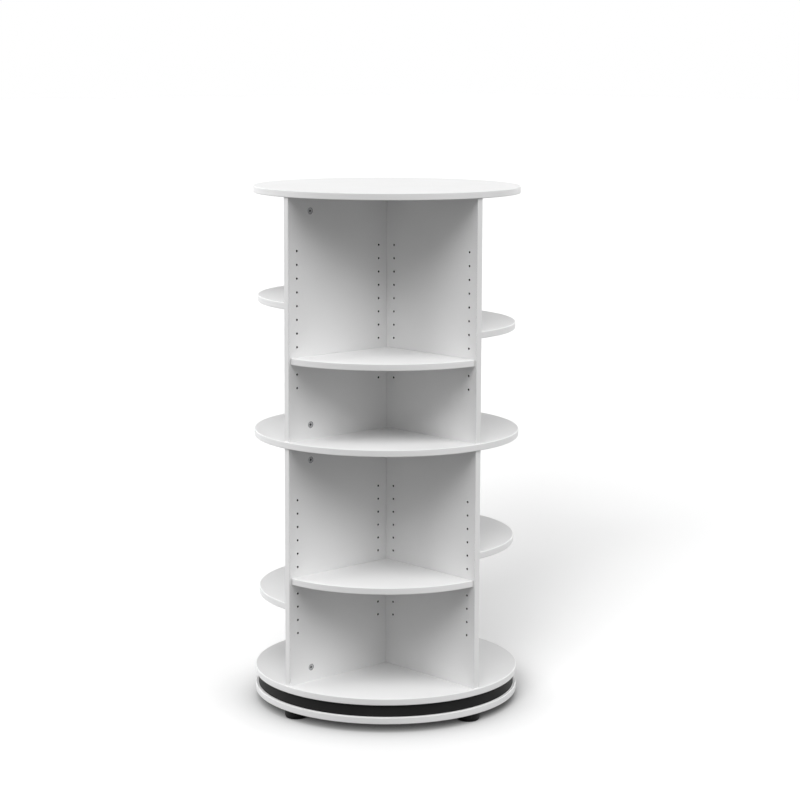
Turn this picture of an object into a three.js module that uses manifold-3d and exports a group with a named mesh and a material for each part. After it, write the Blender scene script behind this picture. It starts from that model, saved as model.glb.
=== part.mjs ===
// Rotating media tower: a round base on four feet carries a ring bearing, and on it turns a
// two-level tower of round boards, crossed upright panels and quarter-round shelves.
// Millimetres, +Z up. The origin is on the turning axis, at floor level.
// The photographed front looks into the compartment between the +X and the -Y panel.

import * as THREE from 'three';
import { mergeVertices } from 'three/addons/utils/BufferGeometryUtils.js';
import Module from 'manifold-3d';

const wasm = await Module();
wasm.setup();

// Driving dimensions
const boardThickness = 16;
const discRadius = 320;
const discEdgeChamfer = 1.5;
const discOverhang = 4;
const footHeight = 20;
const bearingGap = 29;
const levelClearHeight = 570;
const jointGap = 0.3;
const drillOverrun = 1;

// Shelf-pin holes: a standard pitch, two rows on every arm of the cross
const pinPitch = 32;
const pinRowEndMargin = 124;
const pinRowInset = 26;
const pinHoleRadius = 2.5;
const pinEndGap = 0.5;
const pinLength = 15;

// Shelves
const shelfSetback = 10;
const shelfSideGap = 0.6;

// Cam fittings and the bolts that they pull on
const camInset = 67;
const camFromEnd = 34;
const camRadius = 7.5;
const camDepth = 12;
const camRecess = 0.4;
const camSocketRadius = 2.4;
const camSocketDepth = 2.5;
const boltShankRadius = 3.5;
const boltPlay = 0.5;
const boltNeckRadius = 2;
const boltHeadLength = 2.6;
const boltNeckLength = 4;
const boltThreadDepth = 11;
const boltThreadRadius = 2.8;

// Plinth ring
const plinthSetback = 7;
const plinthWall = 16;
const plinthRunningGap = 1.5;

// Feet and their screws
const footRadius = 28;
const footSoleRadius = 25;
const footSoleHeight = 5;
const footCentreInset = 32;
const footWellRadius = 6;
const footWellDepth = 8;
const footScrewRadius = 2;
const footScrewHeadRadius = 4.5;
const footScrewHeadHeight = 3;
const footScrewBite = 11;

// Ring bearing
const bearingHeight = 10;
const bearingInnerRadius = 128;
const raceWidth = 32;
const raceGap = 2.4;
const racewaySidePlay = 0.6;
const ballRadius = 3;
const cageThickness = 1.2;
const cageWidth = 12;
const spacerMargin = 10;
const raceScrewInset = 5;
const raceScrewRadius = 2;
const raceScrewLength = 9;

// Counts
const ballCount = 16;
const discSides = 72;
const ringSides = 48;
const shelfArcSides = 16;
const camSides = 12;
const footSides = 12;
const smallSides = 6;
const ballRings = 4;

// Arms of the cross, by the quarter turns from +X, as the photographed front names them
const arms = ['front_right', 'rear_right', 'rear_left', 'front_left'];

// Which pin hole each shelf hangs on, as a share of the way up its row
const levels = [
  { name: 'lower', shelfHeightShares: { right: 0.6, back: 0.8, left: 0.2, front: 0.4 } },
  { name: 'upper', shelfHeightShares: { right: 0.4, back: 0.8, left: 0.6, front: 0.2 } },
];

// Colours and finishes
const white = { color: 0xe9e9e8, roughness: 0.45, metalness: 0 };
const black = { color: 0x1d1d1e, roughness: 0.6, metalness: 0 };
const rawBoard = { color: 0xb79a70, roughness: 0.9, metalness: 0 };
const steel = { color: 0xa9abad, roughness: 0.35, metalness: 1 };
const zinc = { color: 0x9c9da0, roughness: 0.45, metalness: 1 };

// Places worked out from the sizes
const quarterTurn = Math.PI / 2;
const halfThickness = boardThickness / 2;
const armLength = discRadius - discOverhang;
const camPlace = armLength - camInset;
const pinPlaces = [halfThickness + pinRowInset, armLength - pinRowInset];
const pinHoleCount = Math.floor((levelClearHeight - 2 * pinRowEndMargin) / pinPitch) + 1;
const firstPinHeight = (levelClearHeight - (pinHoleCount - 1) * pinPitch) / 2;
const baseTop = footHeight + boardThickness;
const spacerHeight = bearingGap - bearingHeight;
const bearingBottom = baseTop + spacerHeight;
const bottomDiscHeight = baseTop + bearingGap;
const levelPitch = levelClearHeight + boardThickness;
const footPlace = discRadius - footCentreInset;
const ballPlace = bearingInnerRadius + raceWidth / 2;
const raceScrewPlace = bearingInnerRadius + raceScrewInset;
const boltBoreRadius = boltShankRadius + boltPlay;
const boltEnd = camFromEnd + boltHeadLength / 2;

// A closed mesh as a solid that can be cut and joined
function solidOf(geometry) {
  const bare = geometry.clone();
  bare.deleteAttribute('normal');
  bare.deleteAttribute('uv');
  const merged = mergeVertices(bare);
  const index = merged.getIndex().array;
  const kept = [];
  for (let i = 0; i < index.length; i += 3) {
    const [a, b, c] = index.slice(i, i + 3);
    if (a !== b && b !== c && c !== a) kept.push(a, b, c);
  }
  const vertProperties = new Float32Array(merged.getAttribute('position').array);
  return new wasm.Manifold(new wasm.Mesh({
    numProp: 3, vertProperties, triVerts: new Uint32Array(kept),
  }));
}

function geometryOf(solid) {
  const mesh = solid.getMesh();
  const geometry = new THREE.BufferGeometry();
  geometry.setAttribute('position', new THREE.BufferAttribute(mesh.vertProperties, 3));
  geometry.setIndex(new THREE.BufferAttribute(mesh.triVerts, 1));
  return geometry;
}

function cut(body, tools) {
  return geometryOf(tools.reduce((rest, tool) => rest.subtract(solidOf(tool)), solidOf(body)));
}

function join(pieces) {
  return geometryOf(pieces.map(solidOf).reduce((whole, piece) => whole.add(piece)));
}

// A block between two corners
function block(low, high) {
  const geometry = new THREE.BoxGeometry(...high.map((value, axis) => value - low[axis]));
  return geometry.translate(...high.map((value, axis) => (value + low[axis]) / 2));
}

// A solid of revolution about +Z, from [radius, height] points that go outwards along the
// bottom, up the outside and inwards along the top
function turned(profile, sides) {
  const points = profile.map(([radius, height]) => new THREE.Vector2(radius, height));
  return new THREE.LatheGeometry(points, sides).rotateX(quarterTurn);
}

// A round bar about +Z, from one height to another
function bar(radius, bottom, top, sides) {
  return turned([[0, bottom], [radius, bottom], [radius, top], [0, top]], sides);
}

// A round bar along +Y, from one depth to another
function barAlongY(radius, near, far, sides) {
  return bar(radius, near, far, sides).rotateX(-quarterTurn);
}

// Copies of a geometry, set a quarter turn apart about +Z at a distance from the axis
function fourAround(geometry, distance, startQuarters = 0) {
  return arms.map((name, quarter) => {
    const copy = geometry.clone().translate(distance, 0, 0);
    return copy.rotateZ((quarter + startQuarters) * quarterTurn);
  });
}

// A round board with chamfered edges, its underside at zero height
function roundBoard() {
  const shoulder = discRadius - discEdgeChamfer;
  const outline = [
    [0, 0], [shoulder, 0], [discRadius, discEdgeChamfer],
    [discRadius, boardThickness - discEdgeChamfer], [shoulder, boardThickness],
    [0, boardThickness],
  ];
  return turned(outline, discSides);
}

// The bore that one bolt's threaded end screws into, going up into a board's underside
function threadBore(depth) {
  return bar(boltThreadRadius + jointGap, -drillOverrun, depth, smallSides);
}

// Base disc, with blind holes in its underside for the foot screws
function baseDisc() {
  const hole = bar(footScrewRadius + jointGap, -drillOverrun, footScrewBite + jointGap, smallSides);
  return cut(roundBoard(), fourAround(hole, footPlace));
}

// Foot: a low round pad, narrower at the sole, with a well for its screw's head
function foot() {
  const body = turned([
    [0, 0], [footSoleRadius, 0], [footRadius, footSoleHeight], [footRadius, footHeight],
    [0, footHeight],
  ], footSides);
  const well = bar(footWellRadius, -drillOverrun, footWellDepth, footSides);
  const hole = bar(footScrewRadius + jointGap, 0, footHeight + drillOverrun, smallSides);
  return cut(body, [well, hole]);
}

// Foot screw: its head against the top of the well, its shank up into the base disc
function footScrew() {
  const headBottom = footWellDepth - footScrewHeadHeight;
  const tip = footHeight + footScrewBite;
  return turned([
    [0, headBottom], [footScrewHeadRadius, headBottom], [footScrewHeadRadius, footWellDepth],
    [footScrewRadius, footWellDepth], [footScrewRadius, tip], [0, tip],
  ], smallSides);
}

// Plinth ring: stands on the base disc and ends just short of the turning disc
function plinthRing() {
  const outer = discRadius - plinthSetback;
  const inner = outer - plinthWall;
  const top = bearingGap - plinthRunningGap;
  return turned([[inner, 0], [outer, 0], [outer, top], [inner, top], [inner, 0]], discSides);
}

// Bores for the screws of one race, going down from zero height
function raceScrewBores() {
  const bore = bar(raceScrewRadius + jointGap, -raceScrewLength - jointGap, drillOverrun, smallSides);
  return fourAround(bore, raceScrewPlace, 1 / 2);
}

// Spacer disc: brings the bearing up to the height of the gap
function spacerDisc() {
  const radius = bearingInnerRadius + raceWidth + spacerMargin;
  const bores = raceScrewBores().map((bore) => bore.translate(0, 0, spacerHeight));
  return cut(bar(radius, 0, spacerHeight, ringSides), bores);
}

// One race of the bearing with its four screws, groove up and screws down
function race() {
  const outer = bearingInnerRadius + raceWidth;
  const top = (bearingHeight - raceGap) / 2;
  const grooveFloor = bearingHeight / 2 - ballRadius - jointGap;
  const grooveSide = ballRadius + racewaySidePlay;
  const body = turned([
    [bearingInnerRadius, 0], [outer, 0], [outer, top], [ballPlace + grooveSide, top],
    [ballPlace + grooveSide, grooveFloor], [ballPlace - grooveSide, grooveFloor],
    [ballPlace - grooveSide, top], [bearingInnerRadius, top], [bearingInnerRadius, 0],
  ], ringSides);
  const screw = bar(raceScrewRadius, -raceScrewLength, grooveFloor, smallSides);
  return join([body, ...fourAround(screw, raceScrewPlace, 1 / 2)]);
}

// Ball cage with its balls, about the bearing's middle height
function ballCage() {
  const inner = ballPlace - cageWidth / 2;
  const outer = ballPlace + cageWidth / 2;
  const half = cageThickness / 2;
  const plate = turned([[inner, -half], [outer, -half], [outer, half], [inner, half],
    [inner, -half]], ringSides);
  const ball = new THREE.SphereGeometry(ballRadius, smallSides, ballRings).rotateX(quarterTurn);
  const balls = Array.from({ length: ballCount }, (unused, number) => {
    return ball.clone().translate(ballPlace, 0, 0).rotateZ(number / ballCount * 4 * quarterTurn);
  });
  return join([plate, ...balls]);
}

// Bottom disc: race screws come from below, the panels' bolts stand in its top
function bottomDisc() {
  const screwBores = raceScrewBores().map((bore) => bore.rotateX(2 * quarterTurn));
  const boltBore = threadBore(boltThreadDepth + jointGap).rotateX(2 * quarterTurn)
    .translate(0, 0, boardThickness);
  return cut(roundBoard(), [...screwBores, ...fourAround(boltBore, camPlace)]);
}

// Middle disc: the double bolts pass right through it
function middleDisc() {
  return cut(roundBoard(), fourAround(threadBore(boardThickness + drillOverrun), camPlace));
}

function topDisc() {
  return cut(roundBoard(), fourAround(threadBore(boltThreadDepth + jointGap), camPlace));
}

// The bore that a bolt and the open side of its cam share, up from a panel's end
function boltBore() {
  return bar(boltBoreRadius, -drillOverrun, boltEnd + jointGap, smallSides);
}

// Everything drilled in one arm of the cross, along +X from the axis, its cams in the +Y face
function armBores() {
  const camBottom = halfThickness - camRecess - camDepth - jointGap;
  const camBore = barAlongY(camRadius + jointGap, camBottom, halfThickness + drillOverrun, camSides);
  const pinBore = barAlongY(
    pinHoleRadius, -halfThickness - drillOverrun, halfThickness + drillOverrun, smallSides,
  );
  const bores = [
    camBore.clone().translate(camPlace, 0, camFromEnd),
    camBore.clone().translate(camPlace, 0, levelClearHeight - camFromEnd),
    boltBore().translate(camPlace, 0, 0),
    boltBore().rotateX(2 * quarterTurn).translate(camPlace, 0, levelClearHeight),
  ];
  for (let number = 0; number < pinHoleCount; number += 1) {
    const height = firstPinHeight + number * pinPitch;
    pinPlaces.forEach((along) => bores.push(pinBore.clone().translate(along, 0, height)));
  }
  return bores;
}

// Half of the cross: a short panel butts against the long one
function shortPanel() {
  const start = halfThickness + jointGap;
  const board = block([start, -halfThickness, 0], [armLength, halfThickness, levelClearHeight]);
  return cut(board, armBores());
}

function longPanel() {
  const board = block(
    [-armLength, -halfThickness, 0], [armLength, halfThickness, levelClearHeight],
  );
  const farBores = armBores().map((bore) => bore.rotateZ(2 * quarterTurn));
  return cut(board, [...armBores(), ...farBores]);
}

// Cam: open on the side that its bolt comes from, here from below, about its own centre
function cam() {
  const face = halfThickness - camRecess;
  const body = barAlongY(camRadius, face - camDepth, face, camSides);
  const socket = barAlongY(camSocketRadius, face - camSocketDepth, face + drillOverrun, smallSides);
  return cut(body, [boltBore().translate(0, 0, -camFromEnd), socket]);
}

// The part of a bolt that stands out of a disc, from the disc's surface upwards
function boltStem() {
  const headBottom = boltEnd - boltHeadLength;
  const neckBottom = headBottom - boltNeckLength;
  return [
    [boltShankRadius, 0], [boltShankRadius, neckBottom], [boltNeckRadius, neckBottom],
    [boltNeckRadius, headBottom], [boltShankRadius, headBottom], [boltShankRadius, boltEnd],
    [0, boltEnd],
  ];
}

// Bolt with one end screwed into a disc
function singleBolt() {
  return turned([
    [0, -boltThreadDepth], [boltThreadRadius, -boltThreadDepth], [boltThreadRadius, 0],
    ...boltStem(),
  ], smallSides);
}

// Bolt that passes through the middle disc, about its own middle
function doubleBolt() {
  const upper = boltStem().map(([radius, height]) => [radius, height + halfThickness]);
  const lower = upper.map(([radius, height]) => [radius, -height]).reverse();
  return turned([
    ...lower, [boltThreadRadius, -halfThickness], [boltThreadRadius, halfThickness], ...upper,
  ], smallSides);
}

// Quarter-round shelf between the +X and +Y panels, with the four pins in its edges that it
// hangs on, its underside at zero height
function shelf() {
  const radius = discRadius - shelfSetback;
  const side = halfThickness + shelfSideGap;
  const start = Math.asin(side / radius);
  const shape = new THREE.Shape();
  shape.moveTo(side, side);
  shape.lineTo(radius * Math.cos(start), side);
  shape.absarc(0, 0, radius, start, quarterTurn - start);
  shape.closePath();
  const board = new THREE.ExtrudeGeometry(shape, {
    depth: boardThickness, bevelEnabled: false, curveSegments: shelfArcSides,
  });
  const tip = pinEndGap;
  const pin = barAlongY(pinHoleRadius - jointGap, tip, tip + pinLength, smallSides);
  const pins = pinPlaces.flatMap((along) => {
    const onFirstPanel = pin.clone().translate(along, 0, halfThickness);
    const onSecondPanel = pin.clone().rotateZ(-quarterTurn).translate(0, along, halfThickness);
    return [onFirstPanel, onSecondPanel];
  });
  return join([board, ...pins]);
}

const tower = new THREE.Group();

function addMesh(parent, name, geometry, finish, place = [0, 0, 0]) {
  const mesh = new THREE.Mesh(geometry, new THREE.MeshStandardMaterial(finish));
  mesh.name = name;
  mesh.position.set(...place);
  parent.add(mesh);
  return mesh;
}

// A group turned by a number of quarter turns about +Z, at a height
function addGroup(parent, height = 0, quarters = 0) {
  const group = new THREE.Group();
  group.position.z = height;
  group.rotation.z = quarters * quarterTurn;
  parent.add(group);
  return group;
}

// Base, which stands still
addMesh(tower, 'base_disc', baseDisc(), white, [0, 0, footHeight]);
addMesh(tower, 'plinth_ring', plinthRing(), black, [0, 0, baseTop]);
addMesh(tower, 'spacer_disc', spacerDisc(), rawBoard, [0, 0, baseTop]);
addMesh(tower, 'bearing_lower_race', race(), steel, [0, 0, bearingBottom]);
arms.forEach((arm, quarter) => {
  const side = addGroup(tower, 0, quarter);
  addMesh(side, `foot_${arm}`, foot(), black, [footPlace, 0, 0]);
  addMesh(side, `foot_screw_${arm}`, footScrew(), zinc, [footPlace, 0, 0]);
});

// Ball cage, which rolls between the races
const bearingMiddle = bearingBottom + bearingHeight / 2;
addMesh(tower, 'bearing_ball_cage', ballCage(), steel, [0, 0, bearingMiddle]);

// Turning tower
const upperRace = race().rotateX(2 * quarterTurn);
addMesh(tower, 'bearing_upper_race', upperRace, steel, [0, 0, bottomDiscHeight]);
addMesh(tower, 'bottom_disc', bottomDisc(), white, [0, 0, bottomDiscHeight]);
addMesh(tower, 'middle_disc', middleDisc(), white, [0, 0, bottomDiscHeight + levelPitch]);
addMesh(tower, 'top_disc', topDisc(), white, [0, 0, bottomDiscHeight + 2 * levelPitch]);

levels.forEach(({ name, shelfHeightShares }, number) => {
  const floor = bottomDiscHeight + boardThickness + number * levelPitch;
  const longWay = addGroup(tower, floor, -1);
  addMesh(longWay, `${name}_long_panel`, longPanel(), white);
  [0, 2].forEach((quarter) => {
    const shortWay = addGroup(tower, floor, quarter);
    addMesh(shortWay, `${name}_short_panel_${arms[quarter]}`, shortPanel(), white);
  });
  arms.forEach((arm, quarter) => {
    const side = addGroup(tower, floor, quarter);
    const topCamHeight = levelClearHeight - camFromEnd;
    addMesh(side, `${name}_bottom_cam_${arm}`, cam(), zinc, [camPlace, 0, camFromEnd]);
    const topCam = cam().rotateY(2 * quarterTurn);
    addMesh(side, `${name}_top_cam_${arm}`, topCam, zinc, [camPlace, 0, topCamHeight]);
  });
  Object.entries(shelfHeightShares).forEach(([compartment, share], quarter) => {
    const pinHole = Math.round(share * (pinHoleCount - 1));
    const height = firstPinHeight + pinHole * pinPitch - halfThickness;
    const corner = addGroup(tower, floor, quarter);
    addMesh(corner, `${name}_shelf_${compartment}`, shelf(), white, [0, 0, height]);
  });
});

// Bolts: one up from the bottom disc, one double in the middle disc, one down from the top disc
arms.forEach((arm, quarter) => {
  const side = addGroup(tower, bottomDiscHeight, quarter);
  const middle = levelPitch + halfThickness;
  addMesh(side, `bottom_bolt_${arm}`, singleBolt(), zinc, [camPlace, 0, boardThickness]);
  addMesh(side, `middle_bolt_${arm}`, doubleBolt(), zinc, [camPlace, 0, middle]);
  const hanging = singleBolt().rotateX(2 * quarterTurn);
  addMesh(side, `top_bolt_${arm}`, hanging, zinc, [camPlace, 0, 2 * levelPitch]);
});

export default tower;
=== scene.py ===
"""Finished surfaces and stage of a rotating media tower.

Round white boards with rounded edge bands, a cross of drilled upright panels, quarter-round
shelves on hidden pins, cam fittings, a ring bearing inside a black plinth ring, and low feet.
Lengths are in metres, +Z up, with the turning axis at the origin and the floor at zero.
"""

import math

import bmesh
import bpy
import numpy as np
from bpy.props import FloatProperty, IntProperty, PointerProperty
from mathutils import Matrix, Vector
from mathutils.geometry import delaunay_2d_cdt


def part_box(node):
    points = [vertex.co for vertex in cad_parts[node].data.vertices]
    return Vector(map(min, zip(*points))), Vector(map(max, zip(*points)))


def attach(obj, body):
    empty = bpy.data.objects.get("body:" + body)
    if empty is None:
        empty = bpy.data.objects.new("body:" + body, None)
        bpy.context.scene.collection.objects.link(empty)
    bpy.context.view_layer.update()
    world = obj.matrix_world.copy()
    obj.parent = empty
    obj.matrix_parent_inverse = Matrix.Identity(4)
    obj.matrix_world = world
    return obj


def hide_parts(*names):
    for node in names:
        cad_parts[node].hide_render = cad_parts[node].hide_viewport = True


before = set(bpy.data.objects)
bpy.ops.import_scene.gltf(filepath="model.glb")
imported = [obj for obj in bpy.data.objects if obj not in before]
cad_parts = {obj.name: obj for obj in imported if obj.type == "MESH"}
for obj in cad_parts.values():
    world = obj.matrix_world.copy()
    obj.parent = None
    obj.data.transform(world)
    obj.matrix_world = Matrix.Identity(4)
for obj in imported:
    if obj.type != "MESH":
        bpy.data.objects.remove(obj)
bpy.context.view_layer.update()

bl_info = {
    "name": "Rotating media tower",
    "version": (1, 0, 0),
    "blender": (4, 5, 0),
    "location": "3D View > Sidebar > Media tower",
    "description": "Builds the boards, fittings, bearing and stage of a rotating media tower",
    "category": "Add Mesh",
}

MILLIMETRE = 0.001

# The arms of the panel cross, by quarter turns from +X, and the compartments that follow them
ARMS = ("front_right", "rear_right", "rear_left", "front_left")
COMPARTMENTS = ("right", "back", "left", "front")
LEVELS = ("lower", "upper")

# Lengths below this are rounding errors
TINY = 1e-9

# Distance from an arc to the point that keeps the flat side next to it flat
HOLD = 0.4 * MILLIMETRE

# Sides of the round forms, from the boards down to the pin holes, and steps of the arcs
BOARD_SIDES = 256
BEARING_SIDES = 192
FOOT_SIDES = 96
CAM_SIDES = 48
BOLT_SIDES = 32
PIN_SIDES = 24
CAM_RECESS_SIDES = 96
SCREW_RECESS_SIDES = 64
SHELF_STEPS = 96
CAM_WALL_STEPS = 40
BALL_STEPS = 16

# Sizes of hidden fittings: the hollow, half opening and thin back of a cam, how deep bolts and
# screws go into a board, the ledge under a foot screw's head, and the widths of ring and races
CAM_HOLLOW = 4.6 * MILLIMETRE
CAM_OPENING = math.radians(52)
CAM_PLATE = 0.4 * MILLIMETRE
THREAD_BITE = 11 * MILLIMETRE
SCREW_LEDGE = 8 * MILLIMETRE
RING_WALL = 16 * MILLIMETRE
RACE_WIDTH = 32 * MILLIMETRE


def low_corner(node):
    """Lowest corner of a node of the frame."""
    return np.array(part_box(node)[0], float)


def high_corner(node):
    """Highest corner of a node of the frame."""
    return np.array(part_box(node)[1], float)


def middle(node):
    """Middle of a node of the frame."""
    return (low_corner(node) + high_corner(node)) / 2


FIRST_CAM = "lower_bottom_cam_front_right"
FIRST_FOOT = "foot_front_right"
DISC_RADIUS = high_corner("top_disc")[0]
BOARD = high_corner("top_disc")[2] - low_corner("top_disc")[2]
ARM_LENGTH = high_corner("lower_long_panel")[1]
LEVEL_HEIGHT = high_corner("lower_long_panel")[2] - low_corner("lower_long_panel")[2]
SHORT_START = low_corner("lower_short_panel_front_right")[0]
CAM_PLACE = middle(FIRST_CAM)[0]
CAM_FROM_END = middle(FIRST_CAM)[2] - low_corner("lower_long_panel")[2]
CAM_RADIUS = middle(FIRST_CAM)[2] - low_corner(FIRST_CAM)[2]
CAM_FACE = high_corner(FIRST_CAM)[1]
CAM_BACK = low_corner(FIRST_CAM)[1]
FOOT_HEIGHT = high_corner(FIRST_FOOT)[2]
FOOT_PLACE = middle(FIRST_FOOT)[0]
FOOT_RADIUS = high_corner(FIRST_FOOT)[1]


def length(name, description, millimetres):
    """A setting that is a length, given here in millimetres and kept in metres."""
    return FloatProperty(
        name=name, description=description, default=millimetres * MILLIMETRE, unit="LENGTH",
        precision=5)


def angle(name, description, degrees):
    """A setting that is an angle, given here in degrees."""
    return FloatProperty(
        name=name, description=description, default=math.radians(degrees), subtype="ANGLE")


class BoardSizes(bpy.types.PropertyGroup):
    """Sizes of the boards' finish that the frame leaves open."""

    band: length("Edge band", "Thickness of the glued edge band", 2)
    rounding: length("Edge rounding", "Radius of the edge band's outer corners", 1.8)
    seam: length("Seam", "Width of the eased corner where board and band meet", 0.15)
    pin_pitch: length("Pin pitch", "Distance between the shelf-pin holes of a row", 32)
    pin_count: IntProperty(
        name="Holes in a row", description="Number of shelf-pin holes in each row", default=11)
    pin_inset: length("Row inset", "Distance of a row from the corner and from the panel's edge", 26)
    pin_hole: length("Pin hole radius", "Radius of a shelf-pin hole", 2.5)
    hole_easing: length("Hole easing", "Width of the eased edge round every drilled hole", 0.15)
    shelf_gap: length("Shelf gap", "Gap between a shelf and the panel beside it", 0.6)
    shelf_setback: length(
        "Shelf setback", "How far a shelf's front stands back from the discs' edge", 10)


class FittingSizes(bpy.types.PropertyGroup):
    """Sizes of the metal and plastic fittings that the frame leaves open."""

    cam_play: length("Cam play", "Gap round a cam in its bore", 0.4)
    cam_face: length("Cam face", "Thickness of the cam's solid front", 3.4)
    recess: length("Driver recess", "Radius of the round part of the driver recess", 2.1)
    recess_depth: length("Recess depth", "Depth of the driver recess", 2.9)
    bolt_shank: length("Bolt shank", "Radius of the bolts' plain shank", 3.5)
    thread_pitch: length("Thread pitch", "Rise of the bolts' and screws' threads in one turn", 1.6)
    ball: length("Ball radius", "Radius of the bearing's balls", 3)
    ball_count: IntProperty(name="Balls", description="Number of bearing balls", default=16)


class FinishSettings(bpy.types.PropertyGroup):
    """Tones of the main finishes, as shares of full reflection."""

    white: FloatProperty(
        name="White", description="How much light the white boards reflect",
        default=0.82, min=0.0, max=1.0)
    black: FloatProperty(
        name="Black", description="How much light the black parts reflect",
        default=0.015, min=0.0, max=1.0)


class StageSettings(bpy.types.PropertyGroup):
    """Camera, lamps and floor."""

    camera_azimuth: angle(
        "Azimuth", "Direction of the camera round the tower, from -Y towards +X", 47.415)
    camera_distance: length(
        "Distance", "Distance of the camera from the axis, along the floor", 5142.5)
    camera_height: length("Height", "Height of the camera above the floor", 1558.7)
    camera_pan: angle("Pan", "Turn of the camera to its right, away from the axis", 0.359)
    camera_pitch: angle("Pitch", "How far the camera looks down", 7.797)
    camera_roll: angle("Roll", "Roll of the camera about its line of sight", -0.194)
    lens: FloatProperty(
        name="Lens", description="Focal length for a sensor 36 mm wide, in millimetres", default=96.6)
    camera_shift: FloatProperty(
        name="Shift", description="Upward shift of the frame, as a share of its width",
        default=-0.0625)
    world_strength: FloatProperty(
        name="World light", description="Strength of the even light from all round", default=0.05)
    floor_bounce: FloatProperty(
        name="Floor bounce", description="Share of the light that the floor throws back at the tower",
        default=0.15, min=0.0, max=1.0)
    floor_lift: FloatProperty(
        name="Floor lift", description="Glow that keeps the open floor white", default=0.04)
    contact_reach: length("Contact reach", "Width of the soft shadow round the base", 150)
    contact_depth: FloatProperty(
        name="Contact depth", description="Power that deepens the soft shadow round the base",
        default=0.7)


def rectangle(inner, outer, low, high):
    """Corners of a rectangle, anticlockwise."""
    return [[inner, low], [outer, low], [outer, high], [inner, high]]


def rounded(corners, radii, steps=8, hold=HOLD):
    """Closed outline whose corners are rounded.

    At a corner with half opening angle h an arc of radius r leaves the sides r / tan(h) away
    from the corner, and its centre lies r / sin(h) along the bisector. The arc's points are
    the centre plus r times directions turned evenly from one side's normal to the other's.
    A holding point stands just outside each end of an arc. A corner of radius zero stays one point.
    """
    corners = np.asarray(corners, float)
    radii = np.asarray(radii, float)[:, None]
    before = np.roll(corners, 1, 0) - corners
    after = np.roll(corners, -1, 0) - corners
    before /= np.linalg.norm(before, axis=1, keepdims=True)
    after /= np.linalg.norm(after, axis=1, keepdims=True)
    half = np.arccos(np.clip((before * after).sum(1, keepdims=True), -1, 1)) / 2
    reach = radii / np.tan(half)
    bisector = before + after
    bisector /= np.maximum(np.linalg.norm(bisector, axis=1, keepdims=True), TINY)
    centre = corners + bisector * radii / np.sin(half)
    start = corners + before * reach - centre
    end = corners + after * reach - centre
    swing = (np.pi - 2 * half)[:, :, None]
    share = np.linspace(0, 1, steps + 1)[None, :, None]
    arc = start[:, None] * np.sin((1 - share) * swing) + end[:, None] * np.sin(share * swing)
    arc = centre[:, None] + arc / np.maximum(np.sin(swing), TINY)
    first = (corners + before * (reach + hold))[:, None]
    last = (corners + after * (reach + hold))[:, None]
    points = np.concatenate([first, arc, last], 1)
    sharp = radii[:, 0] == 0
    points[sharp, 0] = corners[sharp]
    keep = np.ones(points.shape[:2], bool)
    keep[sharp, 1:] = False
    return points[keep]


def inset(outline, distance):
    """Moves the sides of a closed outline inwards: each corner moves along the sum of its two
    sides' inward normals, over one plus the cosine between them. The outline runs anticlockwise."""
    side = np.roll(outline, -1, 0) - outline
    side /= np.linalg.norm(side, axis=1, keepdims=True)
    normal = np.stack([-side[:, 1], side[:, 0]], 1)
    earlier = np.roll(normal, 1, 0)
    return outline + distance * (normal + earlier) / (1 + (normal * earlier).sum(1, keepdims=True))


def full_turn(steps):
    """Angles of a full turn, evenly spaced."""
    return np.linspace(0, 2 * np.pi, steps, endpoint=False)


def round_axis(radius, height, turn):
    """Points carried round the axis: x = radius cos turn, y = radius sin turn, z = height."""
    return np.stack(np.broadcast_arrays(radius * np.cos(turn), radius * np.sin(turn), height), -1)


def revolved(outline, steps):
    """Solid of revolution of outline points (radius, height)."""
    return round_axis(outline[:, 0], outline[:, 1], full_turn(steps)[:, None])


def arc_swept(outline, start, end, steps):
    """Outline points (radius, height) carried round the axis from the angle start to the angle
    end. Both may differ from point to point, so that an end can be cut square to a panel."""
    share = np.linspace(0, 1, steps + 1)[:, None]
    return round_axis(outline[:, 0], outline[:, 1], start + share * (end - start))


def circle(centres, radius, steps):
    """Rings of points of one radius round many centres: (centres, steps, 2)."""
    turn = full_turn(steps)
    return centres[:, None] + radius * np.stack([np.cos(turn), np.sin(turn)], -1)


def raised(outline, height):
    """Plane points (x, y) at one height."""
    return np.concatenate([outline, np.full((len(outline), 1), height)], 1)


def at_depth(points, depth):
    """Plane points (along, height) stood up as (along, depth, height)."""
    return np.stack(np.broadcast_arrays(points[..., 0], depth, points[..., 1]), -1)


def quarter_turned(points, quarters):
    """Points turned about +Z by whole quarter turns, in which x and y change places exactly."""
    points = np.array(points, float)
    for _ in range(quarters % 4):
        points[..., 0], points[..., 1] = -points[..., 1].copy(), points[..., 0].copy()
    return points


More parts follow.
